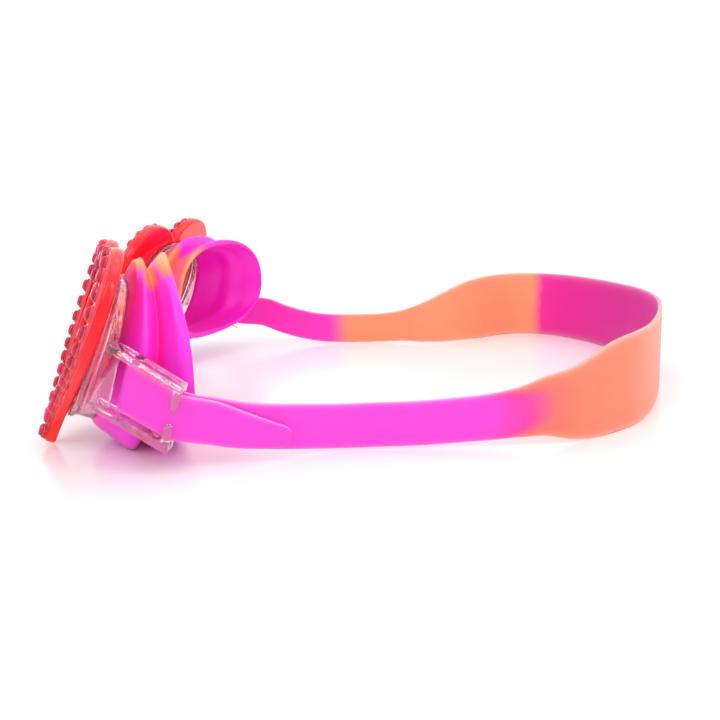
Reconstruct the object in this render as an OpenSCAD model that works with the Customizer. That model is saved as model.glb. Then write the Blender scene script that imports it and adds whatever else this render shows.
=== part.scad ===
// Children's swim goggles: two heart-shaped eyepieces with rhinestone rims, clear lens housings
// with buckle wings, soft eye seals, a soft nose bridge and one silicone head strap.
// +X is the wearer's left, -Y the way the lenses face, +Z up. The origin is the middle of the
// underside, on the surface that the goggles stand on.

/* [Eyepieces] */
// Distance from the middle to the centre of each front plate
eye_x = 46; // [45.5:0.25:46.5]
// Lean of each front plate, top backwards, in degrees
eye_pitch = 23; // [22:0.5:23]
// Wrap of each front plate round the face, in degrees
eye_wrap = 15; // [14:0.5:15]
// Extra wrap of the right eyepiece as the soft bridge lets it lie, in degrees
flex_wrap = 1.5; // [0:0.5:2]
// Lift of the right eyepiece as the soft bridge lets it lie, in degrees
flex_roll = 1; // [0:0.5:1.5]

/* [Front plate] */
// Width of the heart
heart_w = 60.5; // [59:0.5:61]
// Height of the heart
heart_h = 50.6; // [49:0.2:50.6]
// Thickness of the red plate
plate_t = 2.6; // [2.2:0.1:2.8]
// Half width of the window for the eye
window_a = 17; // [15:0.5:17.5]
// Half height of the window for the eye
window_b = 14; // [12:0.5:14.5]

/* [Rhinestones] */
// Number of stones round one heart
stones = 36; // [28:2:38]
// Radius of a stone
stone_r = 1.55; // [1.2:0.05:1.7]
// Thickness of the pink rim that carries the stones
rim_t = 0.7; // [0.6:0.1:1.2]

/* [Lens and housing] */
// Thickness of the lens
lens_t = 1.8; // [1.4:0.1:2]
// Half width of the housing, outside
house_a = 19.5; // [19:0.25:19.5]
// Half height of the housing, outside
house_b = 17; // [16:0.25:17]
// Wall of the housing
house_wall = 1.6; // [1.2:0.1:1.8]

/* [Buckles] */
// Lean of the buckle's bars from upright, in degrees
bar_lean = 18; // [16:0.5:20]
// Extra slope of the buckle's two arms, down towards the back, in degrees
arm_skew = 15; // [13:0.5:16]
// Clear height of the buckle window for the strap
wing_gap = 11.6; // [11.2:0.1:12.2]
// Width of the slot between the two rear prongs
prong_gap = 2.6; // [2:0.1:3.2]

/* [Eye seals] */
// How far back the left seal reaches at the temple
reach_left = 21.8; // [20:0.2:23]
// How far back the right seal reaches at the temple
reach_right = 27.4; // [22:0.2:28]

/* [Strap] */
// Thickness of the silicone strap
strap_t = 1.2; // [1.1:0.05:1.25]
// Width of the narrow sides of the strap
strap_w = 10.5; // [9.5:0.1:10.8]
// Width of the wide back of the strap
back_w = 23; // [20:0.5:24]

/* [Hidden] */

mid_x = 0.3;           // middle of the width and of the length, moved to the origin
mid_y = 66.9;
eye_y = -7.3;
eye_z = 23.85;
pivot = [-12, -5, 25]; // where the bridge lets the right eyepiece turn

// ---------- small vector helpers ----------
function rot_x(a, p) = [p[0], p[1]*cos(a) - p[2]*sin(a), p[1]*sin(a) + p[2]*cos(a)];
function rot_y(a, p) = [p[0]*cos(a) + p[2]*sin(a), p[1], -p[0]*sin(a) + p[2]*cos(a)];
function rot_z(a, p) = [p[0]*cos(a) - p[1]*sin(a), p[0]*sin(a) + p[1]*cos(a), p[2]];
function unit(v) = v / norm(v);
function mix(a, b, t) = a*(1 - t) + b*t;
function clamp01(t) = min(1, max(0, t));

// ---------- frames ----------
// The eyepiece frame: x outwards, y back towards the face, z up along the plate
function eye_pt(p) = [eye_x, eye_y, eye_z] + rot_z(eye_wrap, rot_x(-eye_pitch, p));
module eye_frame() translate([eye_x, eye_y, eye_z]) rotate([-eye_pitch, 0, eye_wrap]) children();
// The buckle frame: y back along the wing, z across the strap, x outwards
buckle_at = [72, 11.4, 16.8];
buckle_toe = -8;
function buckle_pt(p) = buckle_at + rot_z(buckle_toe, rot_x(-bar_lean, p));
// A point on the strap's line through the buckle, which runs along the arms
function thread_pt(x, y) = buckle_pt([x, y, -y*tan(arm_skew)]);
module buckle_frame() translate(buckle_at) rotate([-bar_lean, 0, buckle_toe]) children();
// The right side is the mirror image of the left, turned a little about the bridge
function right_pt(p) = pivot + rot_z(-flex_wrap, rot_y(flex_roll, [-p[0], p[1], p[2]] - pivot));
module left_side() translate([-mid_x, -mid_y, 0]) children();
module right_side() translate([-mid_x, -mid_y, 0]) translate(pivot) rotate([0, 0, -flex_wrap]) rotate([0, flex_roll, 0])
    translate(-pivot) mirror([1, 0, 0]) children();

// ---------- outlines ----------
// The heart, centred on its height, with a filled notch
function heart(t, k) = let (d = min(t, 360 - t))
    k*[heart_w/2*pow(sin(t), 3),
       heart_h/28.97*(13*cos(t) - 5*cos(2*t) - 2*cos(3*t) - cos(4*t) + 2.5) + 5.2*exp(-pow(d/27, 2))]
    + [0, 2*(1 - k)];
function heart_poly(k, n) = [for (i = [0:n - 1]) heart(i*360/n, k)];
// A rounded oval
function oval(t, a, b, e) = [a*sign(cos(t))*pow(abs(cos(t)), 2/e), b*sign(sin(t))*pow(abs(sin(t)), 2/e)];
function oval_poly(a, b, e, n) = [for (i = [0:n - 1]) oval(i*360/n + 180/n, a, b, e)];
oval_z = 1;            // the window sits a little above the heart's centre
// Rear edge of the housing, where the seal starts
function seat_y(x, z) = 5.8 + 0.03*x - 0.065*z;

// A flat shape in the plate's plane, from y0 back to y1
module slab(y0, y1) translate([0, y1, 0]) rotate([90, 0, 0]) linear_extrude(y1 - y0) children();

// ---------- sweeps ----------
// Smooth curve through hand-set points; u counts points
function spline(P, u) = let (n = len(P), i = min(n - 2, max(0, floor(u))), t = u - i,
    a = P[max(0, i - 1)], b = P[i], c = P[i + 1], d = P[min(n - 1, i + 2)])
    0.5*(2*b + (c - a)*t + (2*a - 5*b + 4*c - d)*t*t + (3*b - a - 3*c + d)*t*t*t);
// One section of a flat band with softened edges; q = [x, y, z, width, tilt]
function band_ring(P, u, th) = let (q = spline(P, u), r = spline(P, u + 0.02) - spline(P, u - 0.02),
    lean = clamp01(q[4]/10),
    T = unit([r[0], r[1], r[2]*lean]),
    U = unit([0.12*sin(q[4])*sign(q[0]), sin(q[4]), cos(q[4])]), N = unit(cross(T, U)),
    w = q[3]/2, h = th/2, c = 0.32, o = [q[0], q[1], q[2]])
    [for (s = [[h, w - c], [h - c, w], [c - h, w], [-h, w - c], [-h, c - w], [c - h, -w], [h - c, -w], [h, c - w]])
        o + N*s[0] + U*s[1]];
module sweep_rings(R) {
    m = len(R[0]);
    n = len(R);
    polyhedron(points = [for (r = R) each r],
        faces = [[for (j = [m - 1:-1:0]) j], [for (j = [0:m - 1]) (n - 1)*m + j],
            for (i = [0:n - 2], j = [0:m - 1]) each [
                [i*m + j, i*m + (j + 1)%m, (i + 1)*m + (j + 1)%m],
                [i*m + j, (i + 1)*m + (j + 1)%m, (i + 1)*m + j]]],
        convexity = 6);
}
module band(P, u0, u1, step, th)
    sweep_rings([for (k = [0:round((u1 - u0)/step)]) band_ring(P, u0 + k*(u1 - u0)/round((u1 - u0)/step), th)]);

// ---------- front plate, rim and stones ----------
module heart_plate() color([0.95, 0.16, 0.18]) eye_frame() slab(-plate_t/2, plate_t/2) difference() {
    polygon(heart_poly(1, 96));
    translate([0, oval_z]) polygon(oval_poly(window_a, window_b, 2.4, 72));
}
module stone_rim() color([1, 0.5, 0.6]) eye_frame() slab(-plate_t/2 - rim_t, -plate_t/2) difference() {
    polygon(heart_poly(0.985, 96));
    polygon(heart_poly(0.8, 96));
}
// Arc length along the stones' line, so that they stand evenly
stone_k = 0.91;
arc = [for (i = 0, s = 0; i <= 240; s = s + norm(heart((i + 1)*1.5, stone_k) - heart(i*1.5, stone_k)), i = i + 1) [s, i*1.5]];
arc_len = arc[240][0];
module rhinestones() color([0.86, 0.05, 0.3]) eye_frame() for (i = [0:stones - 1])
    let (p = heart(lookup(i*arc_len/stones, arc), stone_k))
        translate([p[0], -plate_t/2 - rim_t, p[1]]) rotate([90, 0, 0]) {
            cylinder(r = stone_r, h = 0.4, $fn = 8);
            translate([0, 0, 0.4]) cylinder(r1 = stone_r, r2 = stone_r*0.55, h = 0.9, $fn = 8);
        }

// ---------- lens and housing ----------
module lens() color([0.96, 0.3, 0.4]) eye_frame() slab(plate_t/2, plate_t/2 + lens_t)
    translate([0, oval_z]) polygon(oval_poly(house_a - house_wall - 0.1, house_b - house_wall - 0.1, 2.4, 72));

arm = 1.9;             // height of each buckle arm
wing_len = 8.6;        // from the buckle's centre to its rear corners
bar_y = -3;            // place of the middle bar along the buckle
module lens_housing() color([0.9, 0.93, 1, 0.4]) {
    // wall round the lens, cut to the seal's seat
    eye_frame() difference() {
        slab(plate_t/2, 12) translate([0, oval_z]) difference() {
            polygon(oval_poly(house_a, house_b, 2.4, 72));
            polygon(oval_poly(house_a - house_wall, house_b - house_wall, 2.4, 72));
        }
        multmatrix([[1, 0, 0, 0], [0.03, 1, -0.065, 5.8], [0, 0, 1, 0], [0, 0, 0, 1]])
            translate([-40, 0, -40]) cube([80, 30, 80]);
    }
    wing();
    buckle_frame() {
        // two arms
        for (s = [-1, 1]) translate([-1.4, 0, s*(wing_gap + arm)/2 - arm/2]) rotate([90, 0, 90]) linear_extrude(4.9)
            polygon([[-wing_len, wing_len*tan(arm_skew)], [wing_len, -wing_len*tan(arm_skew)],
                [wing_len, arm - wing_len*tan(arm_skew)], [-wing_len, arm + wing_len*tan(arm_skew)]]);
        // middle bar that the strap folds round
        translate([-0.6, bar_y, -wing_gap/2 - 0.5 - bar_y*tan(arm_skew)]) cylinder(r = 0.75, h = wing_gap + 1, $fn = 32);
        // rear bar, split into two rounded prongs
        translate([0, 0, -(wing_len - 1)*tan(arm_skew)]) for (s = [0, 1]) mirror([0, 0, s]) {
            translate([2.55, wing_len - 1, prong_gap/2 + 0.9]) cylinder(r = 0.9, h = wing_gap/2 + arm/2 - prong_gap/2 - 0.9, $fn = 32);
            translate([2.55, wing_len - 1, prong_gap/2 + 0.9]) sphere(r = 0.9, $fn = 32);
        }
    }
}
// The wing flares from the housing's temple side out to the buckle
module wing() {
    n = 10;
    // root line on the housing wall, and the buckle's front edge
    function root(v) = let (z = mix(12.5, -11.5, v)) eye_pt([house_a - 0.9 - 0.035*z*z/4, 3.6, z]);
    function edge(v) = buckle_pt([0.6, -wing_len + 2.2, mix(wing_gap/2 + arm, -wing_gap/2 - arm, v) + (wing_len - 2.2)*tan(arm_skew)]);
    function wing_mid(u, v) = mix(root(v), edge(v), u) + [2.2*sin(180*u), 0, (v - 0.5)*5*sin(180*u)];
    ring = [for (k = [0:n]) let (u = k/n) [for (s = [[0, -1], [0.25, -1], [0.5, -1], [0.75, -1], [1, -1], [1, 1], [0.75, 1], [0.5, 1], [0.25, 1], [0, 1]])
        wing_mid(u, s[0]) + [s[1]*0.9, 0, 0]]];
    sweep_rings(ring);
}

// ---------- eye seal ----------
// [distance from housing to rim, outward offset] down the outside, then back up the inside
seal_profile = [[0, 0], [0.03, 0.9], [0.1, 1.9], [0.2, 2.6], [0.3, 3], [0.38, 2.9], [0.44, 2.1], [0.48, 0.7], [0.51, -0.4], [0.55, -0.7],
    [0.62, 0], [0.72, 1.2], [0.82, 2.1], [0.9, 2.2], [0.96, 1.5], [1, 0.6],
    [0.985, -0.2], [0.93, 0.2], [0.84, 0.2], [0.72, -0.6], [0.62, -1.7], [0.54, -2.4], [0.46, -2.3], [0.36, -1.8], [0.24, -1.8], [0.12, -1.8], [0, -1.8]];
// The rear rim: c = [reach, power, height, half height, tilt, squareness above, squareness below, nose lean, top lean, reach at the nose]
function rim_pt(t, c) = let (q = oval(t, 24, c[3], sin(t) > 0 ? c[5] : c[6]), x = 43 + q[0], u = clamp01((x - 19)/48))
    [x, c[9] + (c[0] - c[9])*pow(u, c[1]) + c[7]*q[1]*(1 - u) - c[8]*pow(max(0, q[1]/c[3]), 2), c[2] + q[1] + c[4]*q[0]];
function seat_pt(t, k) = let (q = k*oval(t, house_a, house_b, 2.4), z = q[1] + oval_z) eye_pt([q[0], seat_y(q[0], z) + 0.12, z]);
function bell(x) = exp(-x*x);
// low: how far the underside bulges; top: how much the crest is drawn in; flat: how much the rear lobe is
module eye_seal(c, low, top, flat) color([0.95, 0.2, 0.8]) {
    n = 72;
    m = len(seal_profile);
    pts = [for (i = [0:n - 1]) let (t = i*360/n, F = seat_pt(t, 1), D = unit(seat_pt(t, 1.1) - F),
            R = rim_pt(t, c), d = [cos(t), 0, sin(t)], g = pow(max(0, -sin(t)), 2), h = pow(max(0, sin(t)), 4))
        for (s = seal_profile) let (o = s[1] + g*low*bell((s[0] - 0.5)/0.24) - (flat + h*top)*bell((s[0] - 0.85)/0.2)
                + h*top*bell((s[0] - 0.14)/0.1),
            p = mix(F, R, s[0]) + mix(D, d, clamp01(2.5*s[0]))*o) [p[0], p[1], max(0.35, p[2])]];
    polyhedron(points = pts, faces = [for (i = [0:n - 1], j = [0:m - 1]) each [
        [i*m + j, ((i + 1)%n)*m + (j + 1)%m, i*m + (j + 1)%m],
        [i*m + j, ((i + 1)%n)*m + j, ((i + 1)%n)*m + (j + 1)%m]]], convexity = 8);
}

// ---------- nose bridge ----------
bridge_end = eye_pt([-house_a - 0.1, 2.9, 6.5]);
bridge_far = right_pt(bridge_end);
bridge_path = [concat(bridge_end, [8.6, 20]), [16, -8.1, 29.8, 7.8, 8], [8, -9.6, 30.8, 7.2, 0], [0, -10.1, 31.1, 7, 0],
    [-8, -9.6, 30.9, 7.2, 0], [-16, -8, 30, 7.8, 8], concat(bridge_far, [8.6, 20])];
module nose_bridge() color([1, 0.55, 0.35]) left_side() band(bridge_path, 0, 6, 0.25, 2.2);

// ---------- strap ----------
// The band runs from the left buckle round the back to the right buckle: [x, y, z, width, tilt]
inner_x = -0.6 - 0.85 - strap_t/2;
outer_x = -0.6 + 0.85 + strap_t/2;
w = strap_w;
band_path = [
    concat(thread_pt(inner_x, bar_y + 0.3), [w, bar_lean]), concat(thread_pt(inner_x, 3), [w, bar_lean]),
    concat(thread_pt(inner_x, 8.5), [w, bar_lean]),
    [71.1, 26, 10.4, w, 13], [69.2, 32.5, 8.5, w, 9], [66.8, 39, 7.2, w, 5], [64.8, 46, 6.3, w, 2], [63.6, 54, 5.7, w, 0], [63.8, 62, 5.7, w, 0],
    [64.5, 71, 5.8, w, 0], [65.2, 80, 6.3, w + 0.1, 0], [66, 88, 7, w + 0.4, 0], [66.8, 94, 8, w + 1.3, 0], [67, 100, 9.2, mix(w, back_w, 0.28), 0],
    [65.8, 106, 9.2, mix(w, back_w, 0.5), 0], [63.4, 111.5, 10, mix(w, back_w, 0.72), 0], [60, 117.5, back_w/2 - 0.4, mix(w, back_w, 0.92), 0],
    [54, 125, back_w/2, back_w, 0], [46, 131.2, back_w/2, back_w, 0], [37, 136.3, back_w/2, back_w, 0], [28, 140.7, back_w/2, back_w, 0],
    [18, 145, back_w/2, back_w, 0], [8, 148.7, back_w/2, back_w, 0], [-2, 151.2, back_w/2, back_w, 0], [-12, 152.4, back_w/2, back_w, 0],
    [-22, 152.1, back_w/2, back_w, 0], [-32, 150.3, back_w/2, back_w, 0], [-42, 147.8, back_w/2, back_w, 0], [-51, 144.6, back_w/2, back_w, 0],
    [-59, 140.4, back_w/2, back_w, 0], [-65.3, 135, back_w/2, back_w, 0], [-69, 129, back_w/2, back_w, 0], [-69.8, 122.5, back_w/2, back_w, 0],
    [-67.6, 116, back_w/2, back_w, 0], [-63.6, 109.5, back_w/2 - 0.1, mix(w, back_w, 0.97), 0],
    [-59.6, 102.5, back_w/2 - 0.6, mix(w, back_w, 0.86), 0], [-56.9, 95, 9.6, mix(w, back_w, 0.62), 0], [-57.2, 87.5, 7.9, mix(w, back_w, 0.33), 0],
    [-59.8, 80, 6.5, w + 1, 0], [-62, 73, 5.7, w + 0.1, 0], [-63.2, 66, 5.5, w, 0], [-64, 58, 5.6, w, 0],
    [-65.2, 50, 6.1, w, 3], [-66.9, 43, 7.3, w, 8], [-68.7, 36, 9.3, w, 13], [-70.6, 29, 11.9, w, 16],
    concat(right_pt(thread_pt(inner_x, 8.5)), [w, bar_lean]), concat(right_pt(thread_pt(inner_x, 3)), [w, bar_lean]),
    concat(right_pt(thread_pt(inner_x, bar_y + 0.3)), [w, bar_lean])];
last = len(band_path) - 1;
split_left = 16;       // where the wide back begins, in points along the band
split_right = 34;
module strap_side_left() color([0.98, 0.35, 0.85]) left_side() band(band_path, 0, split_left, 0.25, strap_t);
module strap_back() color([1, 0.6, 0.45]) left_side() band(band_path, split_left, split_right, 0.25, strap_t);
module strap_side_right() color([1, 0.6, 0.45]) left_side() band(band_path, split_right, last, 0.25, strap_t);

// The fold round the middle bar and the free tail outside the band
fold_r = 0.85 + strap_t/2;
function fold_path(f) = concat(
    [for (a = [180:-20:0]) concat(f(thread_pt(-0.6 + fold_r*cos(a), bar_y - fold_r*sin(a))), [w, bar_lean])],
    [for (y = [0, 4, 8]) concat(f(thread_pt(outer_x, y)), [w, bar_lean])]);
fold_left = fold_path(function (p) p);
fold_right = fold_path(function (p) right_pt(p));
fold_n = len(fold_left);
tail_left = concat(fold_left, [[72.8, 26, 10.3, w - 0.6, 17], [71.1, 31.5, 8.1, 8.6, 15], [69.2, 37, 6.2, 6.6, 13],
    [67.9, 40.8, 5.2, 4.8, 12], [67.5, 42.2, 4.9, 2.6, 12]]);
tail_right = concat(fold_right, [[-73, 28, 11.6, w - 0.6, 20], [-71, 35, 8.9, 8.8, 18], [-68.8, 42, 6.6, 7.4, 20],
    [-67, 48.6, 4.5, 5.6, 14], [-66.6, 52, 3.7, 4.2, 12], [-66.4, 53.2, 3.5, 2.4, 12]]);
module strap_fold_left() color([0.98, 0.35, 0.85]) left_side() band(tail_left, 0, fold_n - 1, 0.5, strap_t);
module strap_fold_right() color([0.98, 0.35, 0.85]) left_side() band(tail_right, 0, fold_n - 1, 0.5, strap_t);
module strap_tail_left() color([0.98, 0.35, 0.85]) left_side() band(tail_left, fold_n - 1, len(tail_left) - 1, 0.25, strap_t);
module strap_tail_right() color([0.98, 0.35, 0.85]) left_side() band(tail_right, fold_n - 1, len(tail_right) - 1, 0.25, strap_t);

left_side() heart_plate();  // heart_plate_left
right_side() heart_plate();  // heart_plate_right
left_side() stone_rim();  // stone_rim_left
right_side() stone_rim();  // stone_rim_right
left_side() rhinestones();  // rhinestones_left
right_side() rhinestones();  // rhinestones_right
left_side() lens();  // lens_left
right_side() lens();  // lens_right
left_side() lens_housing();  // lens_housing_left
right_side() lens_housing();  // lens_housing_right
left_side() eye_seal([reach_left, 1.3, 23.6, 20.2, -0.1, 2.05, 2.8, 0.1, 2, 10], 4.4, 1.4, 0);  // eye_seal_left
right_side() eye_seal([reach_right, 1.35, 24.9, 15.8, 0, 2.3, 2.4, 0.2, 0, 6], -1, 0.4, 1.8);  // eye_seal_right
nose_bridge();
strap_fold_left();
strap_fold_right();
strap_tail_left();
strap_tail_right();
strap_side_left();
strap_side_right();
strap_back();
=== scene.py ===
import math

import bmesh
import bpy
import numpy as np
from mathutils import Matrix, Vector


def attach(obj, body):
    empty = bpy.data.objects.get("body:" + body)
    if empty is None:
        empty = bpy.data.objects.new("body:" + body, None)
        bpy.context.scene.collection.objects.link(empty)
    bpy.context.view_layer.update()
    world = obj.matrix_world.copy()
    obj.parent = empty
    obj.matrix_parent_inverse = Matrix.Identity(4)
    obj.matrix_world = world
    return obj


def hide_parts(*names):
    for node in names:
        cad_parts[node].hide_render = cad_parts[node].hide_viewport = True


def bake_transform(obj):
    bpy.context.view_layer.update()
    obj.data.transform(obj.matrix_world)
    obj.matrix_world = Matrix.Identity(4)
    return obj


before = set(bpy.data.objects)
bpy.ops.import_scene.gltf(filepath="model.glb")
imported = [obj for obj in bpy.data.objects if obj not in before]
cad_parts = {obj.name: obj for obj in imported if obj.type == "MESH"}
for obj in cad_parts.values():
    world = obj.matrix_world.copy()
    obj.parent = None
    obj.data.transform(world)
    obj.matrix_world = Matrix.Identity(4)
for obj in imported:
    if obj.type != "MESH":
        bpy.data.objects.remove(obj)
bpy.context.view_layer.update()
scene = bpy.context.scene

# ------------------------------------------------------------------ geometry helpers, in mm, as in part.scad
MID = np.array([0.3, 66.9, 0.0])
EYE = np.array([46.0, -7.3, 23.85])
PITCH, WRAP = 23.0, 15.0
PIVOT = np.array([-12.0, -5.0, 25.0])
FLEX_WRAP, FLEX_ROLL = 1.5, 1.0
HEART_W, HEART_H = 60.5, 50.6
WIN_A, WIN_B, OVAL_Z = 17.0, 14.0, 1.0
HOUSE_A, HOUSE_B, WALL = 19.5, 17.0, 1.6
BUCKLE = np.array([72.0, 11.4, 16.8])
TOE, LEAN, SKEW = -8.0, 18.0, 15.0
WING_LEN, ARM, GAP, BAR_Y, PRONG_GAP = 8.6, 1.9, 11.6, -3.0, 2.6
STRAP_T, STRAP_W, BACK_W = 1.2, 10.5, 23.0


def rad(a):
    return np.radians(a)


def A(*rows):
    return np.array(rows, float)


def rot_x(a, p):
    p = np.asarray(p, float)
    c, s = math.cos(rad(a)), math.sin(rad(a))
    return np.stack([p[..., 0], p[..., 1] * c - p[..., 2] * s, p[..., 1] * s + p[..., 2] * c], -1)


def rot_y(a, p):
    p = np.asarray(p, float)
    c, s = math.cos(rad(a)), math.sin(rad(a))
    return np.stack([p[..., 0] * c + p[..., 2] * s, p[..., 1], -p[..., 0] * s + p[..., 2] * c], -1)


def rot_z(a, p):
    p = np.asarray(p, float)
    c, s = math.cos(rad(a)), math.sin(rad(a))
    return np.stack([p[..., 0] * c - p[..., 1] * s, p[..., 0] * s + p[..., 1] * c, p[..., 2]], -1)


def eye_pt(p):
    return EYE + rot_z(WRAP, rot_x(-PITCH, p))


def buckle_pt(p):
    return BUCKLE + rot_z(TOE, rot_x(-LEAN, p))


def thread_pt(x, y):
    return buckle_pt(A(x, y, -y * math.tan(rad(SKEW))))


def right_pt(p):
    p = np.asarray(p, float) * A(-1, 1, 1)
    return PIVOT + rot_z(-FLEX_WRAP, rot_y(FLEX_ROLL, p - PIVOT))


def same(p):
    return np.asarray(p, float)


def heart(t, k):
    t = np.asarray(t, float) % 360
    r = rad(t)
    d = np.minimum(t, 360 - t)
    x = HEART_W / 2 * np.sin(r) ** 3
    z = HEART_H / 28.97 * (13 * np.cos(r) - 5 * np.cos(2 * r) - 2 * np.cos(3 * r) - np.cos(4 * r) + 2.5) + 5.2 * np.exp(-((d / 27) ** 2))
    return np.stack([k * x, k * z + 2 * (1 - k)], -1)


def oval(t, a, b, e):
    c, s = np.cos(rad(t)), np.sin(rad(t))
    return np.stack([a * np.sign(c) * np.abs(c) ** (2 / e), b * np.sign(s) * np.abs(s) ** (2 / e)], -1)


def oval_at(theta, a, b, e=2.4):
    """The point of the rounded oval in polar direction theta (radians)."""
    c, s = np.cos(theta), np.sin(theta)
    r = (np.abs(c / a) ** e + np.abs(s / b) ** e) ** (-1 / e)
    return np.stack([r * c, r * s], -1)


def spline(P, u):
    """Catmull-Rom through the rows of P; u counts rows. u may be an array."""
    P = np.asarray(P, float)
    u = np.atleast_1d(np.asarray(u, float))
    n = len(P)
    i = np.clip(np.floor(u).astype(int), 0, n - 2)
    t = (u - i)[:, None]
    a, b, c, d = P[np.maximum(0, i - 1)], P[i], P[i + 1], P[np.minimum(n - 1, i + 2)]
    return 0.5 * (2 * b + (c - a) * t + (2 * a - 5 * b + 4 * c - d) * t * t + (3 * b - a - 3 * c + d) * t * t * t)


def closed_curve(P, per):
    """A closed Catmull-Rom curve through P, `per` points for each span."""
    P = np.asarray(P, float)
    Q = np.vstack([P[-1:], P, P[:2]])
    u = 1 + np.arange(len(P) * per) / per
    return spline(Q, u)


def grid_faces(n, m, wrap_n, wrap_m):
    return [
        (i * m + j, i * m + (j + 1) % m, ((i + 1) % n) * m + (j + 1) % m, ((i + 1) % n) * m + j)
        for i in range(n if wrap_n else n - 1)
        for j in range(m if wrap_m else m - 1)
    ]


def raw_mesh(name, pts, faces, sharp=None, attrs=None, shift=True):
    pts = np.asarray(pts, float).reshape(-1, 3)
    me = bpy.data.meshes.new(name)
    me.from_pydata(((pts - MID) * 0.001 if shift else pts).tolist(), [], [tuple(int(x) for x in f) for f in faces])
    for key, val in (attrs or {}).items():
        me.attributes.new(key, "FLOAT", "POINT").data.foreach_set("value", np.asarray(val, np.float32).ravel())
    bm = bmesh.new()
    bm.from_mesh(me)
    bmesh.ops.recalc_face_normals(bm, faces=bm.faces)
    bm.to_mesh(me)
    bm.free()
    me.update()
    for p in me.polygons:
        p.use_smooth = True
    if sharp is not None:
        me.set_sharp_from_angle(angle=math.radians(sharp))
    return me


def piece(name, me, mat, body=None, stands_for=()):
    o = bpy.data.objects.new(name, me)
    scene.collection.objects.link(o)
    o.data.materials.clear()
    o.data.materials.append(mat)
    if body:
        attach(o, body)
    if stands_for:
        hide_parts(*stands_for)
    return o


def merge(parts):
    """[(points, faces)] joined into one list of points and faces."""
    P, F, base = [], [], 0
    for p, f in parts:
        p = np.asarray(p, float).reshape(-1, 3)
        P.append(p)
        F += [tuple(base + int(x) for x in q) for q in f]
        base += len(p)
    return np.vstack(P), F


# ------------------------------------------------------------------ material helpers
def srgb(r, g, b, a=1.0):
    def lin(c):
        c /= 255
        return c / 12.92 if c <= 0.04045 else ((c + 0.055) / 1.055) ** 2.4

    return (lin(r), lin(g), lin(b), a)


class Nodes:
    def __init__(self, name):
        self.mat = bpy.data.materials.new(name)
        self.mat.use_nodes = True
        self.nt = self.mat.node_tree
        self.bsdf = next(n for n in self.nt.nodes if n.type == "BSDF_PRINCIPLED")

    def add(self, kind, **kw):
        n = self.nt.nodes.new(kind)
        for k, v in kw.items():
            if k in n.inputs.keys():
                n.inputs[k].default_value = v
            else:
                setattr(n, k, v)
        return n

    def link(self, a, b):
        self.nt.links.new(a, b)

    def set(self, **kw):
        for k, v in kw.items():
            self.bsdf.inputs[k.replace("_", " ")].default_value = v

    def coords(self):
        return self.add("ShaderNodeTexCoord").outputs["Object"]

    def noise(self, scale, detail=2.0, rough=0.5, vec=None):
        n = self.add("ShaderNodeTexNoise", Scale=scale, Detail=detail, Roughness=rough)
        self.link(vec or self.coords(), n.inputs["Vector"])
        return n.outputs["Fac"]

    def voronoi(self, scale, vec=None, feature="F1"):
        n = self.add("ShaderNodeTexVoronoi", Scale=scale)
        n.feature = feature
        self.link(vec or self.coords(), n.inputs["Vector"])
        return n.outputs["Distance"]

    def math(self, op, a, b=0.0, c=None):
        n = self.add("ShaderNodeMath", operation=op)
        for i, v in enumerate((a, b, c)):
            if v is None:
                continue
            if isinstance(v, (int, float)):
                n.inputs[i].default_value = v
            else:
                self.link(v, n.inputs[i])
        return n.outputs[0]

    def attr(self, name):
        return self.add("ShaderNodeAttribute", attribute_name=name).outputs["Fac"]

    def ramp(self, fac, stops, mode="EASE"):
        n = self.add("ShaderNodeValToRGB")
        cr = n.color_ramp
        cr.interpolation = mode
        while len(cr.elements) < len(stops):
            cr.elements.new(0.5)
        for el, (pos, col) in zip(cr.elements, stops):
            el.position = pos
        for el, (pos, col) in zip(cr.elements, stops):
            el.position, el.color = pos, col
        self.link(fac, n.inputs["Fac"])
        return n.outputs["Color"]

    def mix(self, fac, a, b, blend="MIX"):
        n = self.add("ShaderNodeMix", data_type="RGBA", blend_type=blend)
        for sock, v in ((n.inputs[0], fac), (n.inputs[6], a), (n.inputs[7], b)):
            if isinstance(v, (int, float, tuple)):
                sock.default_value = v
            else:
                self.link(v, sock)
        return n.outputs[2]

    def color(self, c):
        self.link(c, self.bsdf.inputs["Base Color"])

    def rough(self, fac, lo, hi):
        n = self.add("ShaderNodeMapRange")
        n.inputs["To Min"].default_value, n.inputs["To Max"].default_value = lo, hi
        self.link(fac, n.inputs["Value"])
        self.link(n.outputs["Result"], self.bsdf.inputs["Roughness"])

    def bump(self, height, strength, distance):
        n = self.add("ShaderNodeBump")
        n.inputs["Strength"].default_value = strength
        n.inputs["Distance"].default_value = distance
        self.link(height, n.inputs["Height"])
        self.link(n.outputs["Normal"], self.bsdf.inputs["Normal"])


MAGENTA = srgb(252, 62, 226)
PINK = srgb(255, 24, 150)
VIOLET = srgb(216, 52, 224)
ORANGE = srgb(255, 138, 92)
PEACH = srgb(255, 178, 120)


def silicone_finish(k, rough_lo=0.34, rough_hi=0.46):
    """The satin skin of moulded silicone: fine uneven gloss, a pore-like bump and slow waves."""
    k.set(Subsurface_Weight=0.12, Subsurface_Scale=0.002, Subsurface_Radius=(1.0, 0.45, 0.7), Specular_IOR_Level=0.42,
          IOR=1.42, Sheen_Weight=0.06, Sheen_Roughness=0.5, Coat_Weight=0.08, Coat_Roughness=0.28)
    fine = k.noise(2600, 3, 0.6)
    slow = k.noise(140, 2, 0.5)
    k.rough(k.math("ADD", k.math("MULTIPLY", fine, 0.55), k.math("MULTIPLY", slow, 0.45)), rough_lo, rough_hi)
    k.bump(k.math("ADD", k.math("MULTIPLY", fine, 0.25), slow), 0.12, 0.00035)


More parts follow.
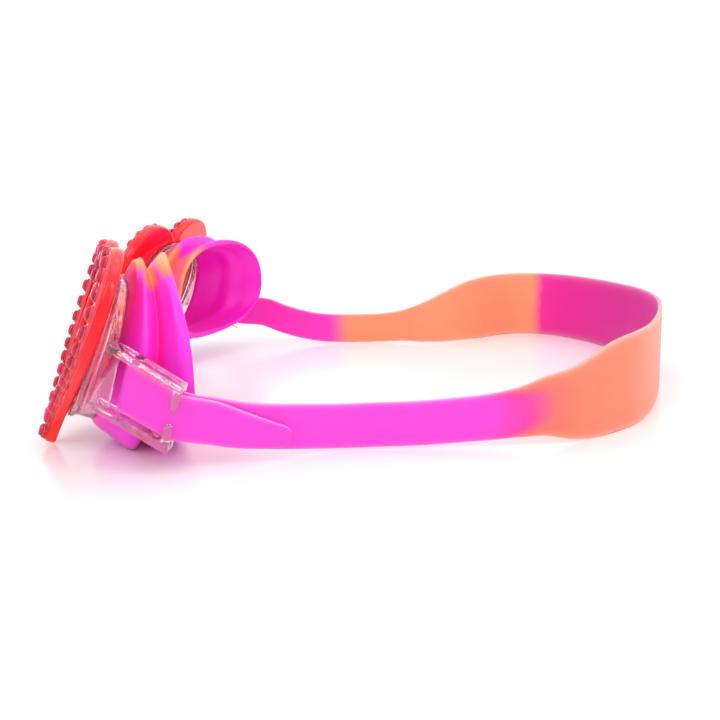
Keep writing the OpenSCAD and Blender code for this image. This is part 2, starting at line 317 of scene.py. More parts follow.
def strap_material():
    """Two-tone silicone: the colours meet in soft, wandering borders along the strap. One magenta stretch is painted
    darker as shade on the strap's inner face, and the edges get a painted highlight.
    """
    k = Nodes("strap_two_tone_silicone")
    u = k.attr("along")
    drift = k.math("MULTIPLY", k.math("SUBTRACT", k.noise(75, 2, 0.5), 0.5), 0.7)
    f = k.math("DIVIDE", k.math("ADD", u, drift), 48.0)

    def s(x):
        return x / 48

    # the dark magenta from 21.9 to 30.2 is painted shade: it stands for the strap's inner face, turned away from the
    # light
    stops = [
        (0.0, srgb(249, 62, 204)), (s(6.0), srgb(250, 66, 214)), (s(10.8), srgb(251, 66, 210)), (s(12.3), srgb(253, 62, 158)),
        (s(13.3), srgb(253, 116, 96)), (s(14.6), srgb(253, 130, 90)), (s(21.3), srgb(252, 132, 88)), (s(21.9), srgb(196, 30, 150)),
        (s(26.0), srgb(204, 32, 150)), (s(30.2), srgb(232, 38, 164)), (s(30.7), srgb(254, 160, 108)), (s(35.0), srgb(255, 154, 104)),
        (s(40.8), srgb(254, 152, 106)), (s(41.7), srgb(252, 54, 196)), (s(43.0), srgb(251, 52, 192)), (1.0, srgb(244, 46, 190)),
    ]
    c = k.ramp(f, stops, "LINEAR")
    tone = k.noise(210, 3, 0.55)
    c = k.mix(k.math("MULTIPLY", tone, 0.16), c, (1.0, 0.02, 0.3, 1.0), "MIX")
    # painted highlight: the strap's edges are mixed towards a pale pink, as light catching the edges
    edge = k.math("POWER", k.math("ABSOLUTE", k.attr("across")), 14.0)
    c = k.mix(k.math("MULTIPLY", edge, 0.3), c, (1.0, 0.8, 0.78, 1.0), "MIX")
    k.color(c)
    silicone_finish(k)
    return k.mat


def seal_material(name, far):
    """Silicone that fades from orange over the top and the nose side to magenta, with painted shade: a darker pink in
    the groove, on the inner face and where the seal meets the housing.
    """
    k = Nodes(name)
    warm = k.attr("warm")
    groove_shade = k.attr("groove_shade")
    drift = k.math("MULTIPLY", k.math("SUBTRACT", k.noise(95, 3, 0.5), 0.5), 0.34)
    # painted shade: the groove mask darkens the body colour to a deeper pink in the crease and recesses
    body = k.mix(groove_shade, srgb(246, 50, 220) if not far else srgb(240, 22, 210), srgb(254, 24, 172) if not far else srgb(242, 20, 192))
    slow = k.noise(60, 2, 0.5)
    body = k.mix(k.math("MULTIPLY", slow, 0.2), body, srgb(252, 26, 192))
    w = k.math("ADD", warm, drift)
    fac = k.ramp(w, [(0.22, (0, 0, 0, 1)), (0.66, (1, 1, 1, 1))], "EASE")
    tone = k.mix(k.math("POWER", warm, 2.0), srgb(254, 96, 60), srgb(255, 160, 96))
    k.color(k.mix(fac, body, tone))
    silicone_finish(k, 0.3, 0.42)
    return k.mat


def bridge_material():
    k = Nodes("bridge_silicone")
    c = k.mix(k.noise(120, 3, 0.5), srgb(255, 128, 70), srgb(255, 150, 100))
    c = k.mix(k.math("MULTIPLY", k.attr("ends"), 0.85), c, srgb(255, 90, 110))
    k.color(c)
    silicone_finish(k)
    return k.mat


def plate_material():
    """Translucent red plastic, painted more coral at the lobes and the tip, where it is thin and lit: partly its own
    translucency, partly painted light.
    """
    k = Nodes("red_translucent_plastic")
    h = k.attr("height")
    cloud = k.noise(45, 3, 0.55)
    f = k.math("ADD", h, k.math("MULTIPLY", k.math("SUBTRACT", cloud, 0.5), 0.25))
    # painted light: coral at the bottom tip and a lighter red at the top lobes, where light passes through the thin
    # plastic
    c = k.ramp(f, [(0.0, srgb(252, 70, 40)), (0.16, srgb(246, 20, 22)), (0.5, srgb(240, 4, 26)), (0.8, srgb(242, 10, 30)), (1.0, srgb(244, 44, 50))])
    k.color(c)
    # the faint red emission is a painted glow: the plate is no lamp
    k.set(Transmission_Weight=0.16, IOR=1.45, Subsurface_Weight=0.35, Subsurface_Scale=0.004, Subsurface_Radius=(1.0, 0.12, 0.12),
          Coat_Weight=0.2, Coat_Roughness=0.04, Specular_IOR_Level=0.3,
          Emission_Color=(1.0, 0.0, 0.015, 1.0), Emission_Strength=0.16)
    flow = k.noise(170, 3, 0.6)
    k.rough(flow, 0.1, 0.22)
    k.bump(flow, 0.35, 0.0004)
    return k.mat


def rim_material():
    k = Nodes("pink_translucent_rim")
    c = k.mix(k.noise(160, 3, 0.5), srgb(252, 80, 104), srgb(248, 40, 68))
    k.color(c)
    k.set(Transmission_Weight=0.3, IOR=1.45, Subsurface_Weight=0.25, Subsurface_Scale=0.003, Subsurface_Radius=(1.0, 0.3, 0.3),
          Coat_Weight=0.28, Coat_Roughness=0.04, Specular_IOR_Level=0.4)
    flow = k.noise(420, 2, 0.6)
    k.rough(flow, 0.08, 0.2)
    k.bump(flow, 0.3, 0.0003)
    return k.mat


def stone_material():
    """Mirror-backed pink stones: each stone and each facet a slightly different depth of colour at random, with the
    crown and table facets painted a lighter pink as a painted highlight.
    """
    k = Nodes("rhinestone_facets")
    tone = k.attr("tone")
    stone_glint = k.attr("facet_tone_glint")
    c = k.ramp(tone, [(0.0, srgb(150, 0, 40)), (0.5, srgb(186, 0, 52)), (1.0, srgb(222, 8, 76))])
    # painted highlight: the facet values mix the crown and table towards a light pink
    c = k.mix(k.math("MULTIPLY", stone_glint, 0.5), c, srgb(250, 36, 108))
    k.color(c)
    k.set(Metallic=0.1, IOR=1.5, Coat_Weight=0.12, Coat_Roughness=0.03, Specular_IOR_Level=0.42)
    k.rough(k.voronoi(900), 0.05, 0.2)
    k.bump(k.voronoi(700), 0.15, 0.0001)
    return k.mat


def lens_material():
    k = Nodes("tinted_lens")
    c = k.mix(k.noise(30, 2, 0.5), srgb(255, 120, 140), srgb(255, 92, 118))
    k.color(c)
    k.set(Transmission_Weight=0.92, IOR=1.45, Coat_Weight=0.5, Coat_Roughness=0.02, Specular_IOR_Level=0.6)
    k.rough(k.noise(380, 3, 0.6), 0.02, 0.09)
    k.bump(k.noise(60, 2, 0.5), 0.05, 0.0004)
    return k.mat


def clear_material():
    """Clear moulded polycarbonate with flow marks, a faint tint and gloss that varies a little from place to place."""
    k = Nodes("clear_polycarbonate")
    c = k.mix(k.noise(130, 3, 0.55), srgb(255, 236, 244), srgb(255, 208, 226))
    k.color(c)
    k.set(Transmission_Weight=0.97, IOR=1.5, Coat_Weight=0.6, Coat_Roughness=0.02, Specular_IOR_Level=0.65)
    flow = k.noise(240, 3, 0.55)
    k.rough(k.noise(800, 2, 0.6), 0.01, 0.06)
    k.bump(flow, 0.55, 0.0006)
    return k.mat


M_STRAP = strap_material()
M_SEAL_L = seal_material("seal_silicone_left", False)
M_SEAL_R = seal_material("seal_silicone_right", True)
M_BRIDGE = bridge_material()
M_PLATE = plate_material()
M_RIM = rim_material()
M_STONE = stone_material()
M_LENS = lens_material()
M_CLEAR = clear_material()

SIDES = (("left", same), ("right", right_pt))

# ------------------------------------------------------------------ front plates
N = 240
TT = np.arange(N) * 360 / N


def plate_mesh(name, place):
    prof = []  # (kind, inset or mix, y)
    r = 0.75
    for a in np.linspace(0, 90, 7):
        prof.append(("h", r * (1 - math.sin(rad(a))), -1.3 + r * (1 - math.cos(rad(a)))))
    for a in np.linspace(90, 0, 7):
        prof.append(("h", r * (1 - math.sin(rad(a))), 1.3 - r * (1 - math.cos(rad(a)))))
    prof += [("m", 0.12, 1.3), ("m", 0.5, 1.3), ("m", 0.85, 1.3), ("o", 0.5, 1.3), ("o", 0.15, 1.18), ("o", 0.0, 0.85), ("o", 0.0, -0.8),
             ("o", 0.12, -1.12), ("o", 0.45, -1.3), ("o", 1.3, -1.3), ("o", 1.75, -1.2), ("o", 2.1, -1.02), ("m", 0.62, -0.98), ("m", 0.45, -1.04),
             ("m", 0.3, -1.2), ("m", 0.2, -1.3), ("m", 0.1, -1.3)]
    edge = heart(TT, 1 - 1.0 / 27)
    theta = np.arctan2(edge[:, 1] - OVAL_Z, edge[:, 0])
    rings = []
    for kind, q, y in prof:
        if kind == "h":
            xz = heart(TT, 1 - q / 27)
        else:
            o = oval_at(theta, WIN_A + (q if kind == "o" else 0.6), WIN_B + (q if kind == "o" else 0.6)) + A(0, OVAL_Z)
            xz = o if kind == "o" else edge * (1 - q) + o * q
        rings.append(np.stack([xz[:, 0], np.full(N, y), xz[:, 1]], -1))
    P = np.stack(rings, 1)  # N x m x 3
    m = P.shape[1]
    height = (P[..., 2] + HEART_H / 2) / HEART_H
    return raw_mesh(name, place(eye_pt(P)), grid_faces(N, m, True, True), 40, {"height": height})


def rim_mesh(name, place):
    prof = [(0.985, -1.25), (0.986, -1.6), (0.983, -1.82), (0.975, -1.97), (0.962, -2.02), (0.948, -1.98), (0.93, -1.86), (0.91, -1.82), (0.89, -1.86),
            (0.852, -1.98), (0.832, -2.02), (0.815, -1.97), (0.805, -1.82), (0.8, -1.6), (0.8, -1.25)]
    rings = [np.stack([heart(TT, k)[:, 0], np.full(N, y), heart(TT, k)[:, 1]], -1) for k, y in prof]
    P = np.stack(rings, 1)
    parts = [(P.reshape(-1, 3), grid_faces(N, P.shape[1], True, True))]
    # a low cup round each stone
    nc = 20
    cup = A((1.5, -1.85), (1.88, -1.85), (1.92, -2.05), (1.86, -2.3), (1.74, -2.4), (1.62, -2.36), (1.56, -2.2), (1.5, -2.0))
    a = np.arange(nc) * 2 * math.pi / nc
    for c in STONES:
        q = np.stack([np.stack([c[0] + rr * np.cos(a), np.full(nc, y), c[1] + rr * np.sin(a)], -1) for rr, y in cup], 1)
        parts.append((q.reshape(-1, 3), grid_faces(nc, len(cup), True, True)))
    V, F = merge(parts)
    return raw_mesh(name, place(eye_pt(V)), F, 50)


# stones stand at even arc lengths along the 0.91 outline
_t = np.arange(0, 361, 0.5)
_p = heart(_t, 0.91)
_s = np.concatenate([[0], np.cumsum(np.linalg.norm(np.diff(_p, axis=0), axis=1))])
STONES = heart(np.interp(np.arange(36) * _s[-1] / 36, _s, _t), 0.91)


def stones_mesh(name, place, seed):
    rng = np.random.RandomState(seed)
    parts, tone, facet_tone_glint = [], [], []
    ns = 10
    for c in STONES:
        turn = rng.rand() * 2 * math.pi
        t0 = rng.rand()
        lean = (rng.rand(2) - 0.5) * 0.1
        rows = [(1.38, -1.95, 0), (1.56, -2.25, 0), (1.56, -2.6, 0), (1.34, -3.0, 0.5), (0.85, -3.28, 0)]
        pts = []
        for rr, y, half in rows:
            a = turn + (np.arange(ns) + half) * 2 * math.pi / ns
            x, z = rr * np.cos(a), rr * np.sin(a)
            pts.append(np.stack([c[0] + x, y + (lean[0] * x + lean[1] * z) * (y < -2.6), c[1] + z], -1))
        pts = np.vstack(pts)
        f = []
        f.append(tuple(range(ns)))
        for r in (0, 1):
            f += [(r * ns + j, r * ns + (j + 1) % ns, (r + 1) * ns + (j + 1) % ns, (r + 1) * ns + j) for j in range(ns)]
        for j in range(ns):  # kites and triangles of the crown
            g0, g1 = 2 * ns + j, 2 * ns + (j + 1) % ns
            m0, m1 = 3 * ns + j, 3 * ns + (j - 1) % ns
            q0, q1 = 4 * ns + j, 4 * ns + (j + 1) % ns
            f.append((g0, g1, m0))
            f.append((g0, m0, q0, m1))
            f.append((m0, q1, q0))
        f.append(tuple(4 * ns + j for j in range(ns)))
        parts.append((pts, f))
        tone += [t0] * len(pts)
        # facet values: low on the girdle rows, higher on the crown and table rows, so the lighter top is a painted
        # highlight; the spread within a row is random
        facet_tone_glint += list(rng.rand(3 * ns) * 0.15) + list(rng.rand(ns) * 0.9) + list(0.35 + 0.65 * rng.rand(ns))
    V, F = merge(parts)
    me = raw_mesh(name, place(eye_pt(V)), F, None, {"tone": tone, "facet_tone_glint": facet_tone_glint})
    for p in me.polygons:
        p.use_smooth = False
    return me


def lens_mesh(name, place):
    n = 120
    t = np.arange(n) * 360 / n
    edge = oval(t + 1.5, HOUSE_A - WALL - 0.12, HOUSE_B - WALL - 0.12, 2.4)
    rings = []
    for f in (0.06, 0.2, 0.35, 0.5, 0.65, 0.78, 0.88, 0.93, 0.97, 0.992, 1.0):  # front, domed into the window
        y = 1.38 - 1.15 * max(0.0, 1 - (f / 0.9) ** 2) + (0.16 if f == 1.0 else 0)
        rings.append((f, y))
    for f in (1.0, 0.992, 0.97, 0.88, 0.78, 0.65, 0.5, 0.35, 0.2, 0.06):
        y = 3.08 - 1.05 * (1 - f * f) - (0.16 if f == 1.0 else 0)
        rings.append((f, y))
    P = np.stack([np.stack([edge[:, 0] * f, np.full(n, y), edge[:, 1] * f + OVAL_Z], -1) for f, y in rings], 0)
    m = len(rings)
    V = P.reshape(-1, 3)
    F = [(i * n + j, i * n + (j + 1) % n, (i + 1) * n + (j + 1) % n, (i + 1) * n + j) for i in range(m - 1) for j in range(n)]
    V = np.vstack([V, A((0, rings[0][1] - 0.003, OVAL_Z)), A((0, rings[-1][1] - 0.003, OVAL_Z))])
    F += [(j, (j + 1) % n, len(V) - 2) for j in range(n)] + [((m - 1) * n + j, (m - 1) * n + (j + 1) % n, len(V) - 1) for j in range(n)]
    return raw_mesh(name, place(eye_pt(V)), F, 40)


# ------------------------------------------------------------------ clear housings with buckle wings
def seat_y(x, z):
    return 5.8 + 0.03 * x - 0.065 * z


def tube(path, r, n=20, dome=True):
    """A round bar along straight path points, with rounded ends."""
    path = np.asarray(path, float)
    d = path[-1] - path[0]
    d /= np.linalg.norm(d)
    up = A(1, 0, 0) if abs(d[0]) < 0.9 else A(0, 1, 0)
    e1 = np.cross(d, up)
    e1 /= np.linalg.norm(e1)
    e2 = np.cross(d, e1)
    a = np.arange(n) * 2 * math.pi / n
    rings = []
    ends = [(-r * math.sin(rad(q)), r * math.cos(rad(q))) for q in (80, 60, 40, 20)] if dome else [(0, r)]
    for off, rr in ends:
        rings.append(path[0] + d * off + rr * (np.cos(a)[:, None] * e1 + np.sin(a)[:, None] * e2))
    rings.append(path[0] + r * (np.cos(a)[:, None] * e1 + np.sin(a)[:, None] * e2))
    rings.append(path[-1] + r * (np.cos(a)[:, None] * e1 + np.sin(a)[:, None] * e2))
    for off, rr in reversed(ends):
        rings.append(path[-1] - d * off + rr * (np.cos(a)[:, None] * e1 + np.sin(a)[:, None] * e2))
    m = len(rings)
    F = [(i * n + j, i * n + (j + 1) % n, (i + 1) * n + (j + 1) % n, (i + 1) * n + j) for i in range(m - 1) for j in range(n)]
    F += [tuple(range(n)), tuple((m - 1) * n + j for j in range(n))]
    return np.vstack(rings), F


def housing_mesh(name, place):
    parts = []
    n = 160
    t = (np.arange(n) + 0.5) * 360 / n
    rows = []
    for grow, y in ((0, 1.4), (0.5, 1.42), (0.75, 1.7), (0.75, 2.3), (0.45, 2.65), (0.0, 2.9), (0, 4.2), (0, None), (-WALL, None), (-WALL, 1.4)):
        q = oval(t, HOUSE_A + grow, HOUSE_B + grow, 2.4)
        z = q[:, 1] + OVAL_Z
        yy = seat_y(q[:, 0], z) if y is None else np.full(n, y)
        rows.append(eye_pt(np.stack([q[:, 0], yy, z], -1)))
    P = np.stack(rows, 1)
    parts.append((P.reshape(-1, 3), grid_faces(n, len(rows), True, True)))
    # wing: a curved sheet that flares from the wall out to the buckle
    nu, nv = 28, 26

    def root(v):
        z = 12.5 * (1 - v) - 11.5 * v
        return eye_pt(np.stack([HOUSE_A - 0.9 - 0.035 * z * z / 4, np.full_like(z, 3.6), z], -1))

    def edge_(v):
        z = (GAP / 2 + ARM) * (1 - v) + (-GAP / 2 - ARM) * v + (WING_LEN - 2.2) * math.tan(rad(SKEW))
        return buckle_pt(np.stack([np.full_like(z, 0.6), np.full_like(z, -WING_LEN + 2.2), z], -1))

    def sheet(u, v):
        b = math.sin(math.pi * u)
        return root(v) * (1 - u) + edge_(v) * u + np.stack([np.full_like(v, 2.2 * b), 0 * v, (v - 0.5) * 5 * b], -1)

    vv = np.linspace(0, 1, nv)
    rings = []
    for i in range(nu + 1):
        u = i / nu
        s = sheet(u, vv)
        th = 0.85 - 0.12 * math.sin(math.pi * u)
        lip = 1 + 0.35 * np.exp(-((np.minimum(vv, 1 - vv) / 0.06) ** 2))  # thicker moulded edges
        rings.append(np.vstack([s - A(1, 0, 0) * (th * lip)[:, None], (s + A(1, 0, 0) * (th * lip)[:, None])[::-1]]))
    m = 2 * nv
    F = [(i * m + j, i * m + (j + 1) % m, (i + 1) * m + (j + 1) % m, (i + 1) * m + j) for i in range(nu) for j in range(m)]
    F += [tuple(range(m)), tuple(nu * m + j for j in range(m))]
    parts.append((np.vstack(rings), F))
    # two arms
    tk = math.tan(rad(SKEW))
    for s in (-1, 1):
        zc = s * (GAP + ARM) / 2
        V = []
        for x in (-1.4, 3.5):
            for y, dz in ((-WING_LEN, -1), (WING_LEN, -1), (WING_LEN, 1), (-WING_LEN, 1)):
                V.append((x, y, zc + dz * ARM / 2 - y * tk))
        parts.append((buckle_pt(A(*V)), [(0, 1, 2, 3), (4, 5, 6, 7), (0, 1, 5, 4), (1, 2, 6, 5), (2, 3, 7, 6), (3, 0, 4, 7)]))
    # middle bar
    b0 = A(-0.6, BAR_Y, -GAP / 2 - 0.5 - BAR_Y * tk)
    parts.append(tube(buckle_pt(A(b0, b0 + A(0, 0, GAP + 1))), 0.78, 20, False))
    # rear bar: two rounded prongs
    zc = -(WING_LEN - 1) * tk
    for s in (-1, 1):
        z0, z1 = PRONG_GAP / 2 + 0.95, GAP / 2 + ARM / 2
        parts.append(tube(buckle_pt(A((2.5, WING_LEN - 1, zc + s * z0), (2.5, WING_LEN - 1, zc + s * z1))), 0.98, 20, True))
    V, F = merge(parts)
    me = raw_mesh(name + "_raw", place(V), F)
    o = bpy.data.objects.new(name + "_raw", me)
    scene.collection.objects.link(o)
    m1 = o.modifiers.new("remesh", "REMESH")
    m1.mode, m1.voxel_size, m1.adaptivity = "VOXEL", 0.00025, 0.0
    m2 = o.modifiers.new("smooth", "SMOOTH")
    m2.factor, m2.iterations = 0.5, 5
    bpy.context.view_layer.update()
    dg = bpy.context.evaluated_depsgraph_get()
    out = bpy.data.meshes.new_from_object(o.evaluated_get(dg), depsgraph=dg)
    out.name = name
    bpy.data.objects.remove(o)
    for p in out.polygons:
        p.use_smooth = True
    return out


# ------------------------------------------------------------------ eye seals
SEAL = A((0, 0), (0.03, 0.9), (0.1, 1.9), (0.2, 2.6), (0.3, 3.0), (0.38, 2.9), (0.44, 2.1), (0.48, 0.7), (0.51, -0.4), (0.55, -0.7),
         (0.62, 0), (0.72, 1.2), (0.82, 2.1), (0.9, 2.2), (0.96, 1.5), (1, 0.6),
         (0.985, -0.2), (0.93, 0.2), (0.84, 0.2), (0.72, -0.6), (0.62, -1.7), (0.54, -2.4), (0.46, -2.3), (0.36, -1.8), (0.24, -1.8), (0.12, -1.8), (0, -1.8))
OUTSIDE = 16  # the first 16 points of the profile are the outside


def seat_pt(t, k):
    q = k * oval(t, HOUSE_A, HOUSE_B, 2.4)
    z = q[:, 1] + OVAL_Z
    return eye_pt(np.stack([q[:, 0], seat_y(q[:, 0], z) + 0.12, z], -1))


def rim_pt(t, c):
    q = np.where((np.sin(rad(t)) > 0)[:, None], oval(t, 24, c[3], c[5]), oval(t, 24, c[3], c[6]))
    x = 43 + q[:, 0]
    u = np.clip((x - 19) / 48, 0, 1)
    return np.stack([x, c[9] + (c[0] - c[9]) * u ** c[1] + c[7] * q[:, 1] * (1 - u) - c[8] * np.clip(q[:, 1] / c[3], 0, 1) ** 2,
                     c[2] + q[:, 1] + c[4] * q[:, 0]], -1)


def seal_mesh(name, place, c, low, top, flat, far):
    n = 216
    t = np.arange(n) * 360 / n
    F0 = seat_pt(t, 1)
    D = seat_pt(t, 1.1) - F0
    D /= np.linalg.norm(D, axis=1)[:, None]
    R0 = rim_pt(t, c)
    d = np.stack([np.cos(rad(t)), 0 * t, np.sin(rad(t))], -1)
    g = np.clip(-np.sin(rad(t)), 0, 1) ** 2
    h = np.clip(np.sin(rad(t)), 0, 1) ** 4
    prof = closed_curve(SEAL, 4)
    m = len(prof)
    P = np.zeros((n, m, 3))
    for j, (s, off) in enumerate(prof):
        b = min(1, max(0, 2.5 * s))
        o = off + g * low * math.exp(-(((s - 0.5) / 0.24) ** 2)) - (flat + h * top) * math.exp(-(((s - 0.85) / 0.2) ** 2)) + h * top * math.exp(-(((s - 0.14) / 0.1) ** 2))
        P[:, j] = F0 * (1 - s) + R0 * s + (D * (1 - b) + d * b) * o[:, None]
    P[..., 2] = np.maximum(P[..., 2], 0.35)
    # colour guides: warm = orange share; the groove mask is painted shade, a darker pink in the groove, on the inner
    # face and next to the housing
    s = np.broadcast_to(prof[:, 0], (n, m))
    out = np.broadcast_to(np.arange(m) < OUTSIDE * 4 - 2, (n, m))
    z = P[..., 2]
    x = P[..., 0]
    groove_shade = np.exp(-(((s - 0.57) / 0.09) ** 2)) * out + 0.45 * (~out)
    groove_shade = groove_shade + 0.55 * np.exp(-((s / 0.14) ** 2)) * out
    lip = np.exp(-(((s - 0.985) / 0.03) ** 2))
    if far:
        nose = np.clip((37 - x) / 9, 0, 1)
        warm = nose * (0.5 + 0.45 * lip + 0.25 * np.exp(-(((s - 0.38) / 0.1) ** 2))) * (0.45 + 0.55 * np.clip((z - 12) / 12, 0, 1))
        warm = warm + 0.18 * lip * (z > 30)
    else:
        patch = np.exp(-(((s - 0.52) / 0.15) ** 2)) * out * np.clip((z - 35) / 4.5, 0, 1)
        crest = np.clip((s - 0.6) / 0.2, 0, 1) * np.clip((z - 38.5) / 4.5, 0, 1)
        front = 0.8 * np.clip((z - 40.0) / 2.8, 0, 1) * (s < 0.5)
        nose = np.clip((36 - x) / 7, 0, 1) * np.clip((z - 8) / 12, 0, 1)
        warm = np.maximum(np.maximum(patch * 0.85, crest), np.maximum(front, nose * 0.95)) + 0.2 * lip * nose
    return raw_mesh(name, place(P), grid_faces(n, m, True, True), None, {"warm": warm, "groove_shade": np.clip(groove_shade, 0, 1)})


# ------------------------------------------------------------------ strap, folds, tails and bridge
W = STRAP_W
INNER_X = -0.6 - 0.85 - STRAP_T / 2
OUTER_X = -0.6 + 0.85 + STRAP_T / 2
FOLD_R = 0.85 + STRAP_T / 2


def mixw(k):
    return W * (1 - k) + BACK_W * k


def row(p, w, tilt):
    return list(np.asarray(p, float)) + [w, tilt]


HB = BACK_W / 2
BAND = A(
    row(thread_pt(INNER_X, BAR_Y + 0.3), W, LEAN), row(thread_pt(INNER_X, 3), W, LEAN), row(thread_pt(INNER_X, 8.5), W, LEAN),
    [71.1, 26, 10.4, W, 13], [69.2, 32.5, 8.5, W, 9], [66.8, 39, 7.2, W, 5], [64.8, 46, 6.3, W, 2], [63.6, 54, 5.7, W, 0], [63.8, 62, 5.7, W, 0],
    [64.5, 71, 5.8, W, 0], [65.2, 80, 6.3, W + 0.1, 0], [66, 88, 7, W + 0.4, 0], [66.8, 94, 8, W + 1.3, 0], [67, 100, 9.2, mixw(0.28), 0],
    [65.8, 106, 9.2, mixw(0.5), 0], [63.4, 111.5, 10, mixw(0.72), 0], [60, 117.5, HB - 0.4, mixw(0.92), 0],
    [54, 125, HB, BACK_W, 0], [46, 131.2, HB, BACK_W, 0], [37, 136.3, HB, BACK_W, 0], [28, 140.7, HB, BACK_W, 0],
    [18, 145, HB, BACK_W, 0], [8, 148.7, HB, BACK_W, 0], [-2, 151.2, HB, BACK_W, 0], [-12, 152.4, HB, BACK_W, 0],
    [-22, 152.1, HB, BACK_W, 0], [-32, 150.3, HB, BACK_W, 0], [-42, 147.8, HB, BACK_W, 0], [-51, 144.6, HB, BACK_W, 0],
    [-59, 140.4, HB, BACK_W, 0], [-65.3, 135, HB, BACK_W, 0], [-69, 129, HB, BACK_W, 0], [-69.8, 122.5, HB, BACK_W, 0],
    [-67.6, 116, HB, BACK_W, 0], [-63.6, 109.5, HB - 0.1, mixw(0.97), 0],
    [-59.6, 102.5, HB - 0.6, mixw(0.86), 0], [-56.9, 95, 9.6, mixw(0.62), 0], [-57.2, 87.5, 7.9, mixw(0.33), 0],
    [-59.8, 80, 6.5, W + 1, 0], [-62, 73, 5.7, W + 0.1, 0], [-63.2, 66, 5.5, W, 0], [-64, 58, 5.6, W, 0],
    [-65.2, 50, 6.1, W, 3], [-66.9, 43, 7.3, W, 8], [-68.7, 36, 9.3, W, 13], [-70.6, 29, 11.9, W, 16],
    row(right_pt(thread_pt(INNER_X, 8.5)), W, LEAN), row(right_pt(thread_pt(INNER_X, 3)), W, LEAN), row(right_pt(thread_pt(INNER_X, BAR_Y + 0.3)), W, LEAN),
)


def fold_rows(f):
    out = []
    for a in range(180, -1, -20):
        out.append(row(f(thread_pt(-0.6 + FOLD_R * math.cos(rad(a)), BAR_Y - FOLD_R * math.sin(rad(a)))), W, LEAN))
    for y in (0, 4, 8):
        out.append(row(f(thread_pt(OUTER_X, y)), W, LEAN))
    return out


TAIL_L = A(*fold_rows(same), [72.8, 26, 10.3, W - 0.6, 17], [71.1, 31.5, 8.1, 8.6, 15], [69.2, 37, 6.2, 6.6, 13], [67.9, 40.8, 5.2, 4.8, 12], [67.5, 42.2, 4.9, 2.6, 12])
TAIL_R = A(*fold_rows(right_pt), [-73, 28, 11.6, W - 0.6, 20], [-71, 35, 8.9, 8.8, 18], [-68.8, 42, 6.6, 7.4, 20], [-67, 48.6, 4.5, 5.6, 14],
           [-66.6, 52, 3.7, 4.2, 12], [-66.4, 53.2, 3.5, 2.4, 12])
BRIDGE_END = eye_pt(A(-HOUSE_A - 0.1, 2.9, 6.5))
BRIDGE = A(row(BRIDGE_END, 8.6, 20), [16, -8.1, 29.8, 7.8, 8], [8, -9.6, 30.8, 7.2, 0], [0, -10.1, 31.1, 7, 0], [-8, -9.6, 30.9, 7.2, 0],
           [-16, -8, 30, 7.8, 8], row(right_pt(BRIDGE_END), 8.6, 20))


def section(h, w, c, flat=9):
    """A rounded-rectangle section, half thickness h, half width w, corner radius c: (thickness, width) points."""
    q = []
    for cx, cy, a0 in ((h - c, w - c, 0), (c - h, w - c, 90), (c - h, c - w, 180), (h - c, c - w, 270)):
        for k in range(6):
            a = rad(a0 + 90 * k / 5)
            q.append((cx + c * math.cos(a), cy + c * math.sin(a)))
        # points along the flat side that follows
        nxt = {0: None, 90: "inner", 180: None, 270: "outer"}[a0]
        if nxt == "inner":
            q += [(-h, (w - c) * (1 - 2 * i / flat)) for i in range(1, flat)]
        elif nxt == "outer":
            q += [(h, (c - w) * (1 - 2 * i / flat)) for i in range(1, flat)]
    return q


def band_mesh(name, P, u0, u1, step, th, corner=0.42, round_end=None, attrs=None):
    n = int(round((u1 - u0) / step)) + 1
    u = np.linspace(u0, u1, n)
    q = spline(P, u)
    r = spline(P, u + 0.02) - spline(P, u - 0.02)
    lean = np.clip(q[:, 4] / 10, 0, 1)
    T = np.stack([r[:, 0], r[:, 1], r[:, 2] * lean], -1)
    T /= np.linalg.norm(T, axis=1)[:, None]
    tl = rad(q[:, 4])
    U = np.stack([0.12 * np.sin(tl) * np.sign(q[:, 0]), np.sin(tl), np.cos(tl)], -1)
    U /= np.linalg.norm(U, axis=1)[:, None]
    Nn = np.cross(T, U)
    Nn /= np.linalg.norm(Nn, axis=1)[:, None]
    rows, across = [], []
    for i in range(n):
        h = th[i] / 2 if np.ndim(th) else th / 2
        w = q[i, 3] / 2
        c = min(corner, h * 0.9, w * 0.9)
        sec = section(h, w, c)
        rows.append([q[i, :3] + Nn[i] * a + U[i] * b for a, b in sec])
        across.append([b / w for a, b in sec])
    P3 = np.array(rows)
    m = P3.shape[1]
    F = grid_faces(n, m, False, True) + [tuple(range(m)), tuple((n - 1) * m + j for j in range(m))]
    at = {"across": np.array(across), "along": np.repeat(u[:, None], m, 1)}
    if attrs:
        at.update(attrs(u, np.array(across), P3))
    return raw_mesh(name, P3, F, 60, at)


def strap_along(u, across, P3):
    uu = np.repeat(u[:, None], across.shape[1], 1)
    bleed = 1.9 * np.abs(across) ** 4 * np.exp(-(((uu - 12.6) / 1.5) ** 2))
    return {"along": uu + bleed}


def end_along(u, across, P3):
    return {"along": np.full(across.shape, 3.0) + 0.05 * u[:, None]}


def end_along_r(u, across, P3):
    return {"along": np.full(across.shape, 44.5) - 0.05 * u[:, None]}


for side, place in SIDES:
    piece("front_plate_" + side, plate_mesh("front_plate_" + side, place), M_PLATE, "eyepieces", ["heart_plate_" + side])
    piece("stone_rim_setting_" + side, rim_mesh("stone_rim_setting_" + side, place), M_RIM, "eyepieces", ["stone_rim_" + side])
    piece("stones_" + side, stones_mesh("stones_" + side, place, 11 if side == "left" else 12), M_STONE, "eyepieces", ["rhinestones_" + side])
    piece("eye_lens_" + side, lens_mesh("eye_lens_" + side, place), M_LENS, "eyepieces", ["lens_" + side])
    piece("housing_" + side, housing_mesh("housing_" + side, place), M_CLEAR, "eyepieces", ["lens_housing_" + side])

